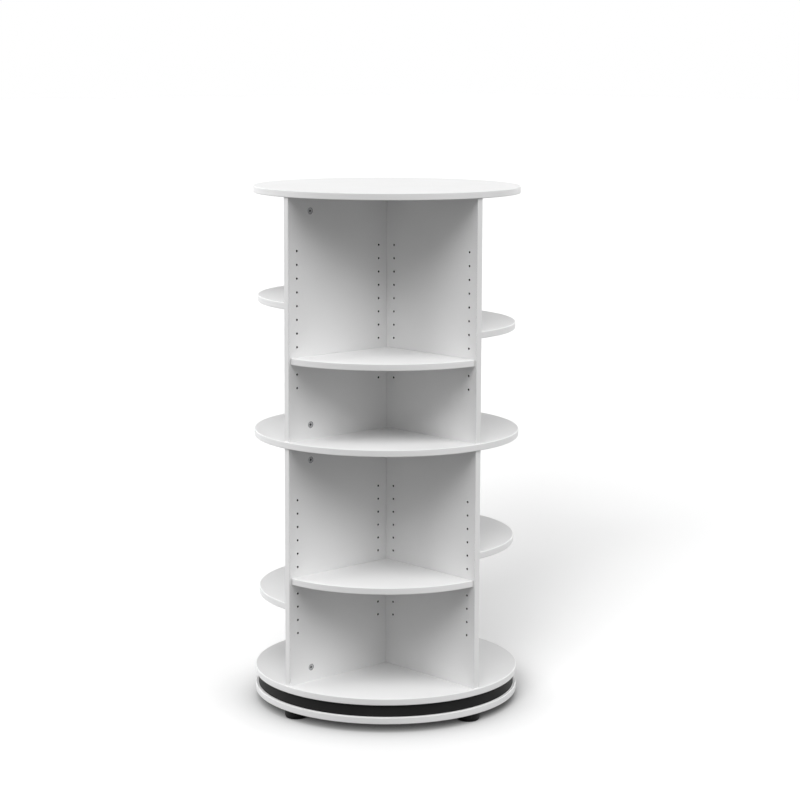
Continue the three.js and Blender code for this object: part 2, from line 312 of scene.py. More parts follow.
class Shell:
    """The surfaces of one piece, gathered as arrays and made into one mesh."""

    merge = 0.002 * MILLIMETRE
    sharp_angle = math.radians(32)

    def __init__(self):
        self.points = []
        self.faces = []
        self.smooth = []
        self.finish = []
        self.polygons = []
        self.count = 0

    def _keep(self, points, faces, smooth, finish):
        self.points.append(points.reshape(-1, 3))
        self.faces.append(faces)
        self.smooth.append(np.broadcast_to(smooth, len(faces)).copy())
        self.finish.append(np.full(len(faces), finish))
        self.count += points.size // 3

    def grid(self, points, round_rows=False, round_columns=False, smooth=True, finish=0):
        """Four-sided faces over a grid of points (rows, columns, 3), or over many such grids.
        smooth is one flag, or one for each step along the columns."""
        batch = points if points.ndim == 4 else points[None]
        grids, rows, columns = batch.shape[:3]
        index = np.arange(grids * rows * columns).reshape(grids, rows, columns) + self.count
        if round_rows:
            index = np.concatenate([index, index[:, :1]], 1)
        if round_columns:
            index = np.concatenate([index, index[:, :, :1]], 2)
        corners = [index[:, :-1, :-1], index[:, 1:, :-1], index[:, 1:, 1:], index[:, :-1, 1:]]
        faces = np.stack(corners, -1)
        flags = np.broadcast_to(smooth, faces.shape[:3]).reshape(-1)
        self._keep(batch, faces.reshape(-1, 4), flags, finish)

    def triangles(self, points, faces):
        """Flat triangles over points (count, 3)."""
        faces = np.concatenate([faces, faces[:, 2:]], 1) + self.count
        self._keep(points, faces, False, 0)

    def polygon(self, points, finish=0):
        """One flat convex face with many corners."""
        self.polygons.append((np.arange(len(points)) + self.count, finish))
        self._keep(points, np.zeros((0, 4), int), False, finish)

    def revolve(self, corners, radii, steps, height=0.0, hold=HOLD):
        """The solid of revolution of a rounded outline. Level stretches of it are flat faces."""
        outline = rounded(corners, radii, hold=hold)
        rise = np.roll(outline[:, 1], -1) - outline[:, 1]
        surface = revolved(outline, steps) + [0, 0, height]
        self.grid(surface, round_rows=True, round_columns=True, smooth=np.abs(rise) > TINY)

    def move(self, change):
        """Applies a function of an array of points to everything gathered so far."""
        self.points = [change(points) for points in self.points]

    def place(self, quarters, along=0.0, height=0.0):
        """Moves everything out along +X, turns it by quarter turns and lifts it."""
        self.move(lambda p: quarter_turned(p + [along, 0, 0], quarters) + [0, 0, height])

    def mesh(self, name):
        """One mesh: equal points are merged, faces that collapse are dropped and all faces
        of closed surfaces are turned outwards."""
        points = np.concatenate(self.points)
        smooth = np.concatenate(self.smooth)
        finish = np.concatenate(self.finish)
        _, kept, merged = np.unique(
            np.round(points / self.merge), axis=0, return_index=True, return_inverse=True)
        merged = merged.reshape(-1)
        faces = merged[np.concatenate(self.faces)]
        repeated = faces == np.roll(faces, -1, 1)
        sides = 4 - repeated.sum(1)
        crossed = (faces[:, 0] == faces[:, 2]) | (faces[:, 1] == faces[:, 3])
        four = (sides == 4) & ~crossed
        three = sides == 3
        corners = [faces[four], faces[three][~repeated[three]].reshape(-1, 3)]
        corners += [merged[corner][None] for corner, _ in self.polygons]
        mesh = bpy.data.meshes.new(name)
        mesh.from_pydata(points[kept].tolist(), [], sum((part.tolist() for part in corners), []))
        flags = np.concatenate([smooth[four], smooth[three], np.zeros(len(self.polygons), bool)])
        slots = np.concatenate([finish[four], finish[three], [slot for _, slot in self.polygons]])
        mesh.polygons.foreach_set("use_smooth", flags)
        mesh.polygons.foreach_set("material_index", slots.astype(np.int32))
        edit = bmesh.new()
        edit.from_mesh(mesh)
        bmesh.ops.recalc_face_normals(edit, faces=edit.faces)
        edit.to_mesh(mesh)
        edit.free()
        mesh.set_sharp_from_angle(angle=self.sharp_angle)
        mesh.validate()
        mesh.update()
        return mesh


def add_piece(name, shell, finishes, body, slot, *nodes):
    """Makes a piece from its shell, gives it its materials, lets it ride on a body and hides the frame
    nodes that it stands for."""
    piece = bpy.data.objects.new(name, shell.mesh(name))
    bpy.context.scene.collection.objects.link(piece)
    for finish in finishes:
        piece.data.materials.append(finish_named(finish))
    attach(piece, body)
    if nodes:
        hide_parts(*nodes)


def drilled_face(outline, rings):
    """Triangles over a flat convex outline with round holes: a constrained Delaunay mesh of the
    outline and the rings, less the triangles whose middle lies in a hole."""
    within_share = 0.98
    tolerance = 1e-6
    loops = [np.asarray(outline, float)] + [ring for group in rings for ring in group]
    points = np.concatenate(loops)
    sizes = np.array([len(loop) for loop in loops])
    firsts = np.repeat(np.cumsum(sizes) - sizes, sizes)
    step = np.arange(len(points))
    ahead = firsts + (step - firsts + 1) % np.repeat(sizes, sizes)
    in_millimetres = points * (1 / MILLIMETRE)
    result = delaunay_2d_cdt(
        [Vector(point) for point in in_millimetres], np.stack([step, ahead], 1).tolist(),
        [], 0, tolerance)
    origin = np.array([source[0] for source in result[3]])
    faces = origin[np.array([face[:] for face in result[2]])]
    centre = points[faces].mean(1)
    inside = np.zeros(len(faces), bool)
    for group in rings:
        holes = group.mean(1)
        reach = np.linalg.norm(group[0, 0] - holes[0])
        gap = np.linalg.norm(centre[:, None] - holes[None], axis=2)
        inside |= (gap < reach * within_share).any(1)
    return points, faces[~inside]


def pin_hole_places(start):
    """Centres (along, height) of the pin holes of one arm, whose corner is at start."""
    sizes = bpy.context.scene.tower_boards
    along = np.array([start + sizes.pin_inset, ARM_LENGTH - sizes.pin_inset])
    first = (LEVEL_HEIGHT - (sizes.pin_count - 1) * sizes.pin_pitch) / 2
    height = first + sizes.pin_pitch * np.arange(sizes.pin_count)
    return np.stack(np.meshgrid(along, height, indexing="ij"), -1).reshape(-1, 2)


def panel_shell(start, two_arms):
    """An upright board along X, drilled through for shelf pins and bored from one face for cams.
    Its front face looks along +Y on the first arm; a second arm is the first one turned half round."""
    sizes = bpy.context.scene.tower_boards
    play = bpy.context.scene.tower_fittings.cam_play
    easing = sizes.hole_easing
    half = BOARD / 2
    end = ARM_LENGTH - sizes.band
    pins = pin_hole_places(half)
    cams = np.array([[CAM_PLACE, CAM_FROM_END], [CAM_PLACE, LEVEL_HEIGHT - CAM_FROM_END]])
    mirror = np.array([-1.0, 1.0])
    if two_arms:
        start = -end
        pins = np.concatenate([pins, pins * mirror])
    bores = {half: cams, -half: cams * mirror if two_arms else cams[:0]}
    bore = CAM_RADIUS + play
    pin_lip = circle(pins, sizes.pin_hole + easing, PIN_SIDES)
    shell = Shell()
    for face, centres in bores.items():
        rings = [pin_lip]
        if len(centres):
            rings.append(circle(centres, bore + easing, CAM_SIDES))
        points, triangles = drilled_face(rectangle(start, end, 0, LEVEL_HEIGHT), rings)
        shell.triangles(at_depth(points, face), triangles)
        if len(centres):
            outward = np.sign(face)
            floor = outward * (CAM_BACK - play)
            steps = [(bore + easing, face), (bore, face - outward * easing), (bore, floor), (0, floor)]
            rings = [at_depth(circle(centres, radius, CAM_SIDES), depth) for radius, depth in steps]
            wall = np.stack(rings, 2)
            shell.grid(wall[:, :, :2], round_rows=True)
            shell.grid(wall[:, :, 1:], round_rows=True, finish=1)
    # The walls of the pin holes take the second finish, near black: painted shade inside the holes
    pin = circle(pins, sizes.pin_hole, PIN_SIDES)
    steps = [(pin_lip, half), (pin, half - easing), (pin, easing - half), (pin_lip, -half)]
    shell.grid(np.stack([at_depth(*step) for step in steps], 2), round_rows=True, finish=1)
    corners = rectangle(start, end, -half, half)
    floor = raised(corners + corners[:1], 0)
    ceiling = raised(corners + corners[:1], LEVEL_HEIGHT)
    shell.grid(np.stack([floor[1:3], ceiling[1:3]]), smooth=False, finish=1)
    shell.grid(np.stack([floor[3:5], ceiling[3:5]]), smooth=False, finish=1)
    shell.polygon(floor[:4], finish=1)
    shell.polygon(ceiling[:4], finish=1)
    return shell


def band_outline(inner, outer, low, high):
    """Cross-section of an edge band, round on the outside and eased where it meets the board."""
    sizes = bpy.context.scene.tower_boards
    radii = [sizes.seam, sizes.rounding, sizes.rounding, sizes.seam]
    hold = (sizes.band - sizes.rounding - sizes.seam) / 3
    return rounded(rectangle(inner, outer, low, high), radii, hold=hold)


def upright_band_shell():
    """Edge band of a panel's front edge: the section carried straight up the panel."""
    sizes = bpy.context.scene.tower_boards
    section = band_outline(ARM_LENGTH - sizes.band, ARM_LENGTH, -BOARD / 2, BOARD / 2)
    foot = raised(section, 0)
    head = raised(section, LEVEL_HEIGHT)
    shell = Shell()
    shell.grid(np.stack([foot, head]), round_columns=True)
    shell.polygon(foot)
    shell.polygon(head)
    return shell


def shelf_shell():
    """Quarter-round board: the plan outline stacked at four heights, drawn in by the easing at
    the lowest and the highest."""
    sizes = bpy.context.scene.tower_boards
    side = BOARD / 2 + sizes.shelf_gap
    radius = DISC_RADIUS - sizes.shelf_setback - sizes.band
    first = math.asin(side / radius)
    turn = np.linspace(first, np.pi / 2 - first, SHELF_STEPS + 1)
    arc = np.stack([radius * np.cos(turn), radius * np.sin(turn)], 1)
    outline = np.concatenate([[[side, side]], arc])
    eased = inset(outline, sizes.seam)
    rings = [raised(eased, 0), raised(outline, sizes.seam), raised(outline, BOARD - sizes.seam),
             raised(eased, BOARD)]
    shell = Shell()
    shell.grid(np.stack(rings), round_columns=True)
    shell.polygon(rings[0])
    shell.polygon(rings[-1])
    return shell


def shelf_band_shell():
    """Edge band of a shelf's curved front: the section carried round the axis between the angles
    at which it is one gap away from the panels."""
    sizes = bpy.context.scene.tower_boards
    outer = DISC_RADIUS - sizes.shelf_setback
    section = band_outline(outer - sizes.band, outer, 0, BOARD)
    first = np.arcsin((BOARD / 2 + sizes.shelf_gap) / section[:, 0])
    surface = arc_swept(section, first, np.pi / 2 - first, SHELF_STEPS)
    shell = Shell()
    shell.grid(surface, round_columns=True)
    shell.polygon(surface[0])
    shell.polygon(surface[-1])
    return shell


def pins_shell():
    """The four pins that a shelf hangs on: plain round pins with rounded ends, one half in the
    panel and the other in the shelf's edge."""
    sizes = bpy.context.scene.tower_boards
    play = 0.1 * MILLIMETRE
    soft = 0.6 * MILLIMETRE
    near = 0.5 * MILLIMETRE
    pin_length = 15 * MILLIMETRE
    corners = rectangle(0, sizes.pin_hole - play, near, near + pin_length)
    pin = revolved(rounded(corners, [0, soft, soft, 0], steps=4), PIN_SIDES)
    shell = Shell()
    for along in (BOARD / 2 + sizes.pin_inset, ARM_LENGTH - sizes.pin_inset):
        across = np.stack([pin[..., 0] + along, pin[..., 2], pin[..., 1] + BOARD / 2], -1)
        shell.grid(across, round_rows=True, round_columns=True)
        shell.grid(across[..., [1, 0, 2]], round_rows=True, round_columns=True)
    return shell


def recessed_disc(shell, radius, front, back, recess, depth, steps):
    """A round disc about +Z with a cross recess in its front, in two grids round the axis that
    meet at the recess's lip. The recess is a circle with four narrow arms: its radius grows with
    the tenth power of the cosine of twice the angle. Distances are shares of it inside, and
    shares of the disc's radius outside, where a shallow groove runs round the face."""
    arm_share = 0.75
    floor_shares = [0, 0.5, 0.8]
    floor_depth_shares = np.array([1, 0.96, 0.9])
    groove_shares = np.array([0.74, 0.77, 0.83, 0.86])
    ease = 0.25 * MILLIMETRE
    turn = full_turn(steps)[:, None]
    edge = recess * (1 + arm_share * np.cos(2 * turn) ** 10)
    inside = np.concatenate([edge * floor_shares, edge], 1)
    inside_heights = [*(front - floor_depth_shares * depth), front - ease]
    rings = [*(groove_shares * radius), radius - ease, radius, radius, radius - ease, 0]
    outside = np.concatenate([edge, edge + ease, rings + 0 * turn], 1)
    outside_heights = [front - ease, front, front, front - ease, front - ease, front,
                       front, front - ease, back + ease, back, back]
    # The inside of the recess takes the second finish, near black: painted shade
    for distance, heights, finish in ((inside, inside_heights, 1), (outside, outside_heights, 0)):
        shell.grid(round_axis(distance, heights, turn), round_rows=True, finish=finish)


def threaded(shell, radius, low, high):
    """A threaded bar about +Z: its radius falls by a triangle wave of the height over the pitch
    less the angle over a full turn, so that the crest climbs as a helix. Both ends are closed."""
    depth = 0.35 * MILLIMETRE
    steps_in_pitch = 6
    pitch = bpy.context.scene.tower_fittings.thread_pitch
    height = np.linspace(low, high, int((high - low) / pitch * steps_in_pitch))[None]
    turn = full_turn(PIN_SIDES)[:, None]
    wave = np.abs(2 * ((height / pitch - turn / (2 * np.pi)) % 1) - 1)
    fade = np.clip(np.minimum(height - low, high - height) / pitch, 0, 1)
    surface = round_axis(radius - depth * (wave * fade + (1 - fade)), height, turn)
    poles = surface[:, [0, -1]] * [0, 0, 1]
    surface = np.concatenate([poles[:, :1], surface, poles[:, 1:]], 1)
    shell.grid(surface, round_rows=True)


def turned_shell(corners, radii, steps):
    """One solid of revolution as a shell of its own."""
    shell = Shell()
    shell.revolve(corners, radii, steps)
    return shell


# Patterns: scale, detail, stretch along the axes and roughness of a noise
ROUND_LINES = (1, 3, (3, 3, 1500))
UPRIGHT_LINES = (1, 3, (1500, 1500, 2))
TURNED_LINES = (1, 4, (900, 900, 900))
CORE_CHIPS = (700, 5, (1, 1, 1), 0.7)
BOARD_CHIPS = (350, 6, (1, 1, 3), 0.7)

# Finishes. tones are two colours, or shares of the setting named by "of". The three patterns
# drive colour, roughness and relief, and relief is a depth in millimetres and a strength.
# Edge bands: their tones stand about 5 % above the white boards', painted light that brightens the
# bands
EDGE_BAND = {
    "of": "white", "tones": (1.05 * 0.99, 1.05 * 1.015), "roughness": (0.28, 0.4),
    "relief": (0.02, 0.5), "specular": 0.2}
LOOKS = {
    # Melamine facing: satin white with a faint cloudiness and a very fine pearled grain
    "board_face": {
        "of": "white", "tones": (0.985, 1.01), "patterns": ((5, 2), (260, 3), (1400, 2)),
        "roughness": (0.5, 0.6), "relief": (0.03, 0.35), "specular": 0.1},
    # Plastic edge bands, smoother than the facing, with faint lines along them; their tone stands a
    # little above the facing's, painted light on the bands
    "round_band": {**EDGE_BAND, "patterns": (ROUND_LINES, ROUND_LINES, ROUND_LINES)},
    "upright_band": {**EDGE_BAND, "patterns": (UPRIGHT_LINES, UPRIGHT_LINES, UPRIGHT_LINES)},
    # Particle core seen in drilled holes, as dull chips darkened almost to black: painted shade inside
    # the holes
    "drilled_core": {
        "tones": ((0.012, 0.011, 0.01), (0.045, 0.04, 0.033)),
        "patterns": (CORE_CHIPS, CORE_CHIPS, CORE_CHIPS),
        "roughness": (0.8, 1.0), "relief": (0.2, 1), "specular": 0.1},
    # Raw particle board: pale chips of wood pressed flat
    "raw_board": {
        "tones": ((0.36, 0.24, 0.12), (0.62, 0.47, 0.29)),
        "patterns": (BOARD_CHIPS, BOARD_CHIPS, BOARD_CHIPS),
        "roughness": (0.75, 0.95), "relief": (0.2, 1)},
    # Matt black lacquer of the plinth ring, with a soft rolled texture
    "black_paint": {
        "of": "black", "tones": (0.85, 1.15), "patterns": ((14, 3), (900, 3), (900, 3)),
        "roughness": (0.52, 0.66), "relief": (0.06, 0.6), "specular": 0.08},
    # Black moulded plastic of the feet: a fine spark-eroded grain
    "black_plastic": {
        "of": "black", "tones": (0.45, 0.7), "patterns": ((60, 3), (2200, 2), (2200, 2)),
        "roughness": (0.46, 0.6), "relief": (0.08, 0.6), "specular": 0.12},
    # Dull die-cast zinc: a grainy grey oxide skin with darker patches
    "cast_zinc": {
        "tones": ((0.34, 0.34, 0.35), (0.48, 0.48, 0.49)),
        "patterns": ((220, 4), (220, 4), (3000, 2)),
        "roughness": (0.42, 0.6), "relief": (0.05, 0.6), "metallic": 0.3},
    # Floor and walls of a driver recess, near black: painted shade in the recess
    "dark_recess": {
        "tones": ((0.012, 0.012, 0.012), (0.045, 0.044, 0.042)),
        "patterns": ((2500, 3), (2500, 3), (2500, 3)),
        "roughness": (0.6, 0.8), "relief": (0.1, 1), "specular": 0.1},
    # Pressed, zinc-plated steel with faint turned lines
    "plated_steel": {
        "tones": ((0.52, 0.53, 0.54), (0.68, 0.68, 0.68)),
        "patterns": ((40, 4), TURNED_LINES, TURNED_LINES),
        "roughness": (0.22, 0.38), "relief": (0.02, 0.5), "metallic": 1.0},
}
FINISHES = {}

# Noise lies mostly between these two values
NOISE_LOW = 0.3
NOISE_HIGH = 0.7


def grey(value):
    """An opaque grey."""
    return (value, value, value, 1)


class Nodes:
    """A node tree with short ways to add nodes and feed their sockets."""

    def __init__(self, tree):
        self.tree = tree

    def feed(self, node, **sockets):
        """Gives sockets, with _ for a blank in their names, a value or the output that feeds them."""
        for name, value in sockets.items():
            socket = node.inputs[name.replace("_", " ")]
            if isinstance(value, bpy.types.NodeSocket):
                self.tree.links.new(value, socket)
            else:
                socket.default_value = value

    def add(self, kind, **sockets):
        """Adds a node and feeds its sockets."""
        node = self.tree.nodes.new(f"ShaderNode{kind}")
        self.feed(node, **sockets)
        return node

    def join(self, kind, *sources):
        """Adds a node whose first sockets are fed by the given outputs, in order."""
        node = self.tree.nodes.new(f"ShaderNode{kind}")
        for socket, source in zip(node.inputs, sources):
            self.tree.links.new(source, socket)
        return node

    def noise(self, scale, detail, stretch=(1, 1, 1), roughness=0.5):
        """Noise on the object's own coordinates, stretched along the axes."""
        place = self.add("TexCoord").outputs["Object"]
        mapping = self.add("Mapping", Vector=place, Scale=stretch)
        noise = self.add("TexNoise", Vector=mapping.outputs["Vector"], Scale=scale, Detail=detail,
                         Roughness=roughness)
        return noise.outputs["Fac"]

    def spread(self, value, low, high, start=NOISE_LOW, end=NOISE_HIGH):
        """Maps a value between start and end onto the range from low to high."""
        node = self.add("MapRange", Value=value, From_Min=start, From_Max=end, To_Min=low, To_Max=high)
        return node.outputs["Result"]

    def tint(self, value, first, second):
        """Colour between two tones by a value."""
        ramp = self.add("ValToRGB", Fac=value)
        ends = ramp.color_ramp.elements
        for end, position, colour in zip(ends, (NOISE_LOW, NOISE_HIGH), (first, second)):
            end.position = position
            end.color = (*colour, 1)
        return ramp.outputs["Color"]

    def seen_directly(self):
        """One for rays from the camera, in gloss and through glass, and zero for the others."""
        path = self.add("LightPath")
        total = path.outputs["Is Camera Ray"]
        for kind in ("Is Glossy Ray", "Is Transmission Ray"):
            larger = self.join("Math", total, path.outputs[kind])
            larger.operation = "MAXIMUM"
            total = larger.outputs[0]
        return total


def finish_named(name):
    """A material by the name of its finish, made when it is first asked for."""
    if name not in FINISHES:
        look = LOOKS[name]
        tones = look["tones"]
        if "of" in look:
            tone = getattr(bpy.context.scene.tower_finishes, look["of"])
            tones = [grey(share * tone)[:3] for share in tones]
        material = bpy.data.materials.new(name)
        material.use_nodes = True
        nodes = Nodes(material.node_tree)
        noises = {pattern: nodes.noise(*pattern) for pattern in dict.fromkeys(look["patterns"])}
        clouds, gloss, grain = [noises[pattern] for pattern in look["patterns"]]
        depth, strength = look["relief"]
        bump = nodes.add("Bump", Height=grain, Distance=depth * MILLIMETRE, Strength=strength)
        nodes.feed(
            material.node_tree.nodes["Principled BSDF"], Base_Color=nodes.tint(clouds, *tones),
            Roughness=nodes.spread(gloss, *look["roughness"]), Normal=bump.outputs["Normal"],
            Specular_IOR_Level=look.get("specular", 0.5), Metallic=look.get("metallic", 0.0))
        FINISHES[name] = material
    return FINISHES[name]


class MEDIATOWER_OT_round_boards(bpy.types.Operator):
    """Builds the four round boards, each a faced board with an edge band round it"""

    bl_idname = "media_tower.round_boards"
    bl_label = "Round boards"

    def execute(self, context):
        sizes = context.scene.tower_boards
        inner = DISC_RADIUS - sizes.band
        eased = [0, sizes.seam, sizes.seam, 0]
        bodies = {"base": "base", "bottom": "tower", "middle": "tower", "top": "tower"}
        for disc, body in bodies.items():
            node = f"{disc}_disc"
            height = low_corner(node)[2]
            board = Shell()
            board.revolve(rectangle(0, inner, 0, BOARD), eased, BOARD_SIDES, height)
            add_piece(f"{disc}_board", board, ["board_face"], body, "white_board", node)
            section = band_outline(inner, DISC_RADIUS, 0, BOARD)
            band = Shell()
            band.grid(revolved(section, BOARD_SIDES), round_rows=True, round_columns=True)
            band.place(0, height=height)
            add_piece(f"{disc}_board_edge", band, ["round_band"], body, "white_board", node)
        return {"FINISHED"}


class MEDIATOWER_OT_panels(bpy.types.Operator):
    """Builds the drilled upright panels of both levels and the edge bands on their fronts"""

    bl_idname = "media_tower.panels"
    bl_label = "Upright panels"

    def execute(self, context):
        kinds = [("long_panel", -1, True), ("short_panel_front_right", 0, False),
                 ("short_panel_rear_left", 2, False)]
        for level in LEVELS:
            floor = low_corner(f"{level}_long_panel")[2]
            for kind, quarters, two_arms in kinds:
                shell = panel_shell(SHORT_START, two_arms)
                shell.place(quarters, height=floor)
                name = f"{level}_{kind}"
                # The second finish is near black: painted shade inside the drilled holes
                finishes = ["board_face", "drilled_core"]
                add_piece(f"{name}_board", shell, finishes, "tower", "white_board", name)
            for quarters, arm in enumerate(ARMS):
                band = upright_band_shell()
                band.place(quarters, height=floor)
                add_piece(f"{level}_panel_edge_{arm}", band, ["upright_band"], "tower", "white_board")
        return {"FINISHED"}


class MEDIATOWER_OT_shelves(bpy.types.Operator):
    """Builds the quarter-round shelves with their edge bands and the pins that they hang on"""

    bl_idname = "media_tower.shelves"
    bl_label = "Shelves"

    def execute(self, context):
        for level in LEVELS:
            for quarters, compartment in enumerate(COMPARTMENTS):
                node = f"{level}_shelf_{compartment}"
                parts = [("board", shelf_shell(), "board_face", "white_board"),
                         ("edge", shelf_band_shell(), "round_band", "white_board"),
                         ("pins", pins_shell(), "plated_steel", "zinc_fitting")]
                for part, shell, finish, slot in parts:
                    shell.place(quarters, height=low_corner(node)[2])
                    add_piece(f"{node}_{part}", shell, [finish], "tower", slot, node)
        return {"FINISHED"}


class MEDIATOWER_OT_cams(bpy.types.Operator):
    """Builds the cam fittings: a recessed front, an open wall round the bolt's head and a back"""

    bl_idname = "media_tower.cams"
    bl_label = "Cam fittings"

    def execute(self, context):
        for level in LEVELS:
            for end, flip in (("bottom", 1), ("top", -1)):
                for quarters, arm in enumerate(ARMS):
                    node = f"{level}_{end}_cam_{arm}"
                    shell = self.cam(context.scene.tower_fittings)
                    shell.move(lambda p: np.stack([-flip * p[:, 1], p[:, 2], -flip * p[:, 0]], -1))
                    shell.place(quarters, CAM_PLACE, middle(node)[2])
                    finishes = ["cast_zinc", "dark_recess"]
                    add_piece(f"{node}_drum", shell, finishes, "tower", "zinc_fitting", node)
        return {"FINISHED"}

    def cam(self, sizes):
        """A cam about +Z, open towards +X."""
        plate = CAM_BACK + CAM_PLATE
        front = CAM_FACE - sizes.cam_face
        shell = Shell()
        recessed_disc(shell, CAM_RADIUS, CAM_FACE, front, sizes.recess, sizes.recess_depth,
                      CAM_RECESS_SIDES)
        wall = np.array(rectangle(CAM_HOLLOW, CAM_RADIUS, plate, front))
        swept = arc_swept(wall, CAM_OPENING, 2 * np.pi - CAM_OPENING, CAM_WALL_STEPS)
        shell.grid(swept, round_columns=True)
        shell.polygon(swept[0])
        shell.polygon(swept[-1])
        shell.revolve(rectangle(0, CAM_RADIUS, CAM_BACK, plate), [0, 0, 0, 0], CAM_SIDES)
        return shell


class MEDIATOWER_OT_bolts(bpy.types.Operator):
    """Builds the threaded bolts that the cams pull on"""

    bl_idname = "media_tower.bolts"
    bl_label = "Bolts"

    def stem(self, shank, start):
        """Corners of the part of a bolt that stands out of a board: shank, neck and head."""
        neck = 2 * MILLIMETRE
        neck_length = 4 * MILLIMETRE
        shoulder = 1 * MILLIMETRE
        head_taper = 0.8 * MILLIMETRE
        head_height = 2.6 * MILLIMETRE
        top = high_corner("bottom_bolt_front_right")[2] - high_corner("bottom_disc")[2]
        head = top - head_height
        below = head - neck_length
        corners = [[shank, 0], [shank, below], [neck, below + shoulder], [neck, head - head_taper],
                   [shank, head], [shank, top], [0, top]]
        return np.array(corners) + [0, start]

    def execute(self, context):
        fittings = context.scene.tower_fittings
        shank = fittings.bolt_shank
        core_step = 0.7 * MILLIMETRE
        thread_step = 0.1 * MILLIMETRE
        core = shank - core_step
        thread = core + thread_step
        soft = 0.25 * MILLIMETRE
        hold = 0.05 * MILLIMETRE
        half = BOARD / 2
        for quarters, arm in enumerate(ARMS):
            for kind in ("bottom", "middle", "top"):
                node = f"{kind}_bolt_{arm}"
                shell = Shell()
                if kind == "middle":
                    stem = self.stem(shank, half)
                    collar = [[core, -half], [core, half]]
                    corners = np.concatenate([stem[::-1] * [1, -1], collar, stem])
                    origin = middle(node)[2]
                else:
                    threaded(shell, thread, -THREAD_BITE, 0)
                    corners = np.concatenate([[[0, 0]], self.stem(shank, 0)])
                    surface = high_corner if kind == "bottom" else low_corner
                    origin = surface(f"{kind}_disc")[2]
                radii = [0] + [soft] * (len(corners) - 2) + [0]
                shell.revolve(corners, radii, BOLT_SIDES, hold=hold)
                if kind == "top":
                    shell.move(lambda p: p * [1, -1, -1])
                shell.place(quarters, CAM_PLACE, origin)
                add_piece(f"{node}_turned", shell, ["plated_steel"], "tower", "zinc_fitting", node)
        return {"FINISHED"}


class MEDIATOWER_OT_base(bpy.types.Operator):
    """Builds the plinth ring, the spacer, the feet and their screws"""

    bl_idname = "media_tower.base"
    bl_label = "Plinth ring and feet"

    def execute(self, context):
        soft = 0.5 * MILLIMETRE
        spacer_soft = 0.3 * MILLIMETRE
        low = low_corner("plinth_ring")
        high = high_corner("plinth_ring")
        corners = rectangle(high[0] - RING_WALL, high[0], low[2], high[2])
        ring = turned_shell(corners, [soft] * 4, BOARD_SIDES)
        add_piece("plinth_ring_body", ring, ["black_paint"], "base", "black_plinth", "plinth_ring")
        low = low_corner("spacer_disc")
        high = high_corner("spacer_disc")
        corners = rectangle(0, high[0], low[2], high[2])
        spacer = turned_shell(corners, [0, spacer_soft, spacer_soft, 0], BEARING_SIDES)
        add_piece("spacer_disc_body", spacer, ["raw_board"], "base", "raw_board", "spacer_disc")
        for quarters, arm in enumerate(ARMS):
            foot = self.foot(soft)
            foot.place(quarters, FOOT_PLACE)
            add_piece(f"foot_{arm}_body", foot, ["black_plastic"], "base", "black_foot", f"foot_{arm}")
            screw = self.screw()
            screw.place(quarters, FOOT_PLACE)
            node = f"foot_screw_{arm}"
            finishes = ["plated_steel", "dark_recess"]
            add_piece(f"{node}_turned", screw, finishes, "base", "zinc_fitting", node)
        return {"FINISHED"}

    def foot(self, soft):
        """A foot: a flared round pad with a well and a hole for its screw."""
        well = 6 * MILLIMETRE
        hole = 2.3 * MILLIMETRE
        sole_inset = 2 * MILLIMETRE
        sole = FOOT_RADIUS - sole_inset
        flare = 7 * MILLIMETRE
        sole_soft = 4.5 * MILLIMETRE
        flare_soft = 3 * MILLIMETRE
        corners = [[hole, FOOT_HEIGHT], [hole, SCREW_LEDGE], [well, SCREW_LEDGE], [well, 0], [sole, 0],
                   [FOOT_RADIUS, flare], [FOOT_RADIUS, FOOT_HEIGHT]]
        return turned_shell(corners, [0, 0, 0, soft, sole_soft, flare_soft, soft], FOOT_SIDES)

    def screw(self):
        """A foot's screw, its head with the driver recess turned down."""
        head = 4.5 * MILLIMETRE
        head_face = 5 * MILLIMETRE
        recess = 1.6 * MILLIMETRE
        recess_depth = 1.8 * MILLIMETRE
        thread = 2.1 * MILLIMETRE
        shell = Shell()
        recessed_disc(shell, head, -head_face, -SCREW_LEDGE, recess, recess_depth, SCREW_RECESS_SIDES)
        shell.move(lambda p: p * [1, -1, -1])
        threaded(shell, thread, SCREW_LEDGE, FOOT_HEIGHT + THREAD_BITE)
        return shell


